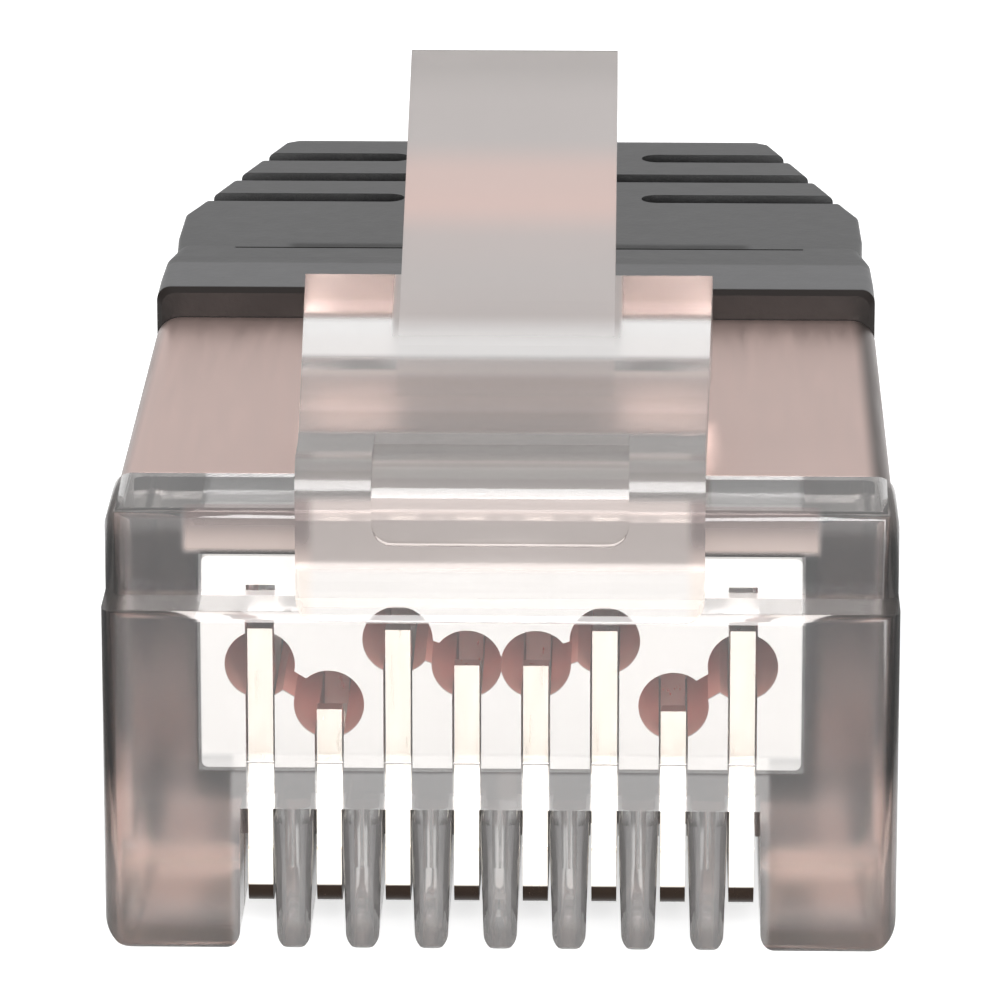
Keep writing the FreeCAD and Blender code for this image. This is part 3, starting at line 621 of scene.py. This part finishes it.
def clear_plastic():
    """Smoky clear moulding: polished in front of the wires, milky in its sides and tab, with
    painted light and shade in its colour.
    """
    n = Nodes("clear_plastic")
    glass = n.add("ShaderNodeBsdfPrincipled", IOR=CLEAR_IOR)
    flow = n.noise(scale=450, detail=1.0, stretch=(1, 0.35, 1))
    zone = {name: n.within(**limits) for name, limits in ZONES.items()}
    zone["tab"] = n.times(zone["tab_wide"], zone["tab_long"])
    # The strip: a painted highlight line along the ledge, in front of the wires.
    zone["strip"] = n.times(zone["window"], zone["ledge"])
    zone["rib_sides"] = n.times(n.flanks(PITCH, RIB_SIDE_FROM, RIB_SIDE_TO), zone["below_web"])
    n.link(moulding_colour(n, zone, flow), glass.inputs["Base Color"])
    for target, value, layers in (("Roughness", ROUGHNESS, ROUGHNESS_IN),
                                  ("Transmission Weight", TRANSMISSION, TRANSMISSION_IN)):
        for name, number in layers:
            value = n.blend(zone[name], value, number)
        n.link(value, glass.inputs[target])
    through = n.add("ShaderNodeBsdfTransparent", Color=SHADOW_TINT)
    path = n.add("ShaderNodeLightPath")
    shader = glass
    for ray in ("Is Shadow Ray", "Is Diffuse Ray"):
        mix = n.add("ShaderNodeMixShader")
        n.link(path.outputs[ray], mix.inputs[0])
        n.link(shader.outputs[0], mix.inputs[1])
        n.link(through.outputs[0], mix.inputs[2])
        shader = mix
    smoke = n.add("ShaderNodeVolumeAbsorption", Color=SMOKE, Density=SMOKE_DENSITY)
    n.link(smoke.outputs[0], n.out.inputs["Volume"])
    return n.surface(shader)


def white_plastic():
    """Opaque white, with painted warm light down in the wire holes and painted shade near
    their top.
    """
    n = Nodes("white_plastic")
    skin = n.add("ShaderNodeBsdfPrincipled", IOR=PLASTIC_IOR,
                 Specular_IOR_Level=PLASTIC_SPECULAR)
    mottle = n.noise(scale=900)
    hole_light_and_shade = n.tint(n.within(**HOLE_TOP_PAINT_ZONE), HOLE_PAINTED_WARM_LIGHT, HOLE_TOP_PAINTED_SHADE)
    colour = n.tint(n.within(**HOLE_PAINT_ZONE), n.tint(mottle, *WHITE), hole_light_and_shade)
    return n.surface(skin, Base_Color=colour, Roughness=n.between(mottle, *WHITE_ROUGHNESS))


def gold_contact():
    """Bright gold plate, with painted shade on the blades' lower edges."""
    n = Nodes("gold_contact")
    metal = n.add("ShaderNodeBsdfPrincipled", Metallic=1.0)
    grain = n.noise(scale=9000, roughness=0.6, stretch=(1, 1, 0.12))
    colour = n.tint(n.within(**BLADE_FOOT_SHADE_ZONE), n.tint(grain, *GOLD), BLADE_FOOT_PAINTED_SHADE)
    return n.surface(metal, Base_Color=colour, Roughness=n.between(grain, *GOLD_ROUGHNESS),
                     Normal=n.bump(grain, strength=0.15, distance=0.00001))


def shield_metal():
    """Warm nickel plate with a grain along Y, and a painted dark reflection on the rounded
    upper edges.
    """
    n = Nodes("shield_metal")
    metal = n.add("ShaderNodeBsdfPrincipled", Metallic=1.0)
    grain = n.noise(scale=5000, roughness=0.6, stretch=(1, 0.08, 1))
    face = n.tint(n.noise(scale=260), *NICKEL)
    top = n.tint(n.within(**SHIELD_TOP), SHIELD_EDGE_PAINTED_REFLECTION, face)
    colour = n.tint(n.within(**SHIELD_SIDES), top, face)
    return n.surface(metal, Base_Color=colour, Roughness=n.between(grain, *NICKEL_ROUGHNESS),
                     Normal=n.bump(grain, strength=0.12, distance=0.00001))


def boot_elastomer():
    """Dark grey elastomer with painted light and shade: lighter collar, dark fold behind it
    and front lip, black in the slots.
    """
    n = Nodes("boot_elastomer")
    skin = n.add("ShaderNodeBsdfPrincipled", IOR=PLASTIC_IOR,
                 Specular_IOR_Level=PLASTIC_SPECULAR)
    # Ambient occlusion paints shade into the slots and creases.
    shelter = n.add("ShaderNodeAmbientOcclusion", Distance=SHELTER_REACH, set_samples=3,
                    set_only_local=True)
    open_air = n.between(shelter.outputs["AO"], 0.0, 1.0, SHELTERED, OPEN_AIR)
    face = n.tint(n.noise(scale=350, detail=3.0), *RUBBER)
    for limits, paint in BOOT_PAINTED_LIGHT_AND_SHADE:
        face = n.tint(n.within(**limits), face, paint)
    return n.surface(skin, Base_Color=n.tint(open_air, SLOT_PAINTED_SHADE, face),
                     Roughness=n.between(n.noise(scale=2500, detail=3.0), *RUBBER_ROUGHNESS),
                     Normal=n.bump(n.noise(scale=9000, detail=3.0), strength=0.25,
                                   distance=0.00002))


def dress(obj, material):
    obj.data.materials.clear()
    obj.data.materials.append(material)


# ---------------------------------------------------------- light and stage
def ray_level(tree, base, camera, glossy, transmission):
    """A strength that depends on which kind of ray asks: base plus the share of each kind."""
    path = tree.nodes.new("ShaderNodeLightPath")
    total = None
    for name, share in (("Is Camera Ray", camera), ("Is Glossy Ray", glossy),
                        ("Is Transmission Ray", transmission)):
        part = tree.nodes.new("ShaderNodeMath")
        part.operation = "MULTIPLY_ADD"
        tree.links.new(path.outputs[name], part.inputs[0])
        part.inputs[1].default_value = share
        if total is None:
            part.inputs[2].default_value = base
        else:
            tree.links.new(total, part.inputs[2])
        total = part.outputs[0]
    return total


def floor():
    mesh = bmesh.new()
    corners = symmetric([(FLOOR_HALF, -FLOOR_HALF), (FLOOR_HALF, FLOOR_HALF)])
    mesh.faces.new([mesh.verts.new((x, y, FLOOR_Z)) for x, y in corners])
    obj = from_bmesh("floor", mesh)
    n = Nodes("floor")
    paint = n.add("ShaderNodeBsdfDiffuse", Color=FLOOR_PAINT)
    glow = n.add("ShaderNodeEmission", Color=(1, 1, 1, 1))
    n.link(ray_level(n.tree, **FLOOR_GLOW), glow.inputs["Strength"])
    both = n.add("ShaderNodeAddShader")
    n.link(paint.outputs[0], both.inputs[0])
    n.link(glow.outputs[0], both.inputs[1])
    dress(obj, n.surface(both))


def world():
    sky = bpy.data.worlds.new("studio")
    bpy.context.scene.world = sky
    sky.use_nodes = True
    tree = sky.node_tree
    tree.nodes.clear()
    out = tree.nodes.new("ShaderNodeOutputWorld")
    air = tree.nodes.new("ShaderNodeBackground")
    air.inputs["Color"].default_value = (1, 1, 1, 1)
    tree.links.new(ray_level(tree, **SKY_GLOW), air.inputs["Strength"])
    tree.links.new(air.outputs[0], out.inputs["Surface"])
    sky.cycles.sampling_method = "NONE"


def softbox(name, spot, aim, width, height, power):
    light = bpy.data.lights.new(name, "AREA")
    light.shape = "RECTANGLE"
    light.size, light.size_y = width, height
    light.energy = power
    obj = bpy.data.objects.new(name, light)
    obj.location = spot
    obj.rotation_euler = (Vector(aim) - Vector(spot)).to_track_quat("-Z", "Y").to_euler()
    bpy.context.scene.collection.objects.link(obj)


def camera():
    azimuth, elevation = math.radians(CAMERA_AZIMUTH), math.radians(CAMERA_ELEVATION)
    back = Vector((math.sin(azimuth) * math.cos(elevation),
                   -math.cos(azimuth) * math.cos(elevation), math.sin(elevation)))
    right = Vector((math.cos(azimuth), math.sin(azimuth), 0))
    up = right.cross(-back)
    data = bpy.data.cameras.new("camera")
    data.lens = LENS
    data.sensor_width = SENSOR
    data.clip_start, data.clip_end = CLIP_START, CLIP_END
    obj = bpy.data.objects.new("camera", data)
    obj.location = place(0, 0, 0) + (back * CAMERA_DISTANCE + up * AIM_ABOVE) * MM
    obj.rotation_euler = (-back).to_track_quat("-Z", "Y").to_euler()
    bpy.context.scene.collection.objects.link(obj)
    bpy.context.scene.camera = obj


# --------------------------------------------------------------------- build
camera()
world()
floor()
for lamp in LAMPS:
    softbox(*lamp)

body = moulding()
dress(body, clear_plastic())
nodes = frame["nodes"]
dress(nodes["wire_manager"], white_plastic())
gold = gold_contact()
for i in range(1, CONTACT_COUNT + 1):
    dress(nodes["contact_%d" % i], gold)
dress(nodes["shield"], shield_metal())
dress(nodes["boot"], boot_elastomer())

scene = bpy.context.scene
scene.view_settings.view_transform = "Standard"
scene.cycles.max_bounces = 11
scene.cycles.transmission_bounces = 8
scene.cycles.transparent_max_bounces = 12
scene.cycles.glossy_bounces = 4
scene.cycles.diffuse_bounces = 5
scene.cycles.caustics_reflective = False
scene.cycles.use_light_tree = False
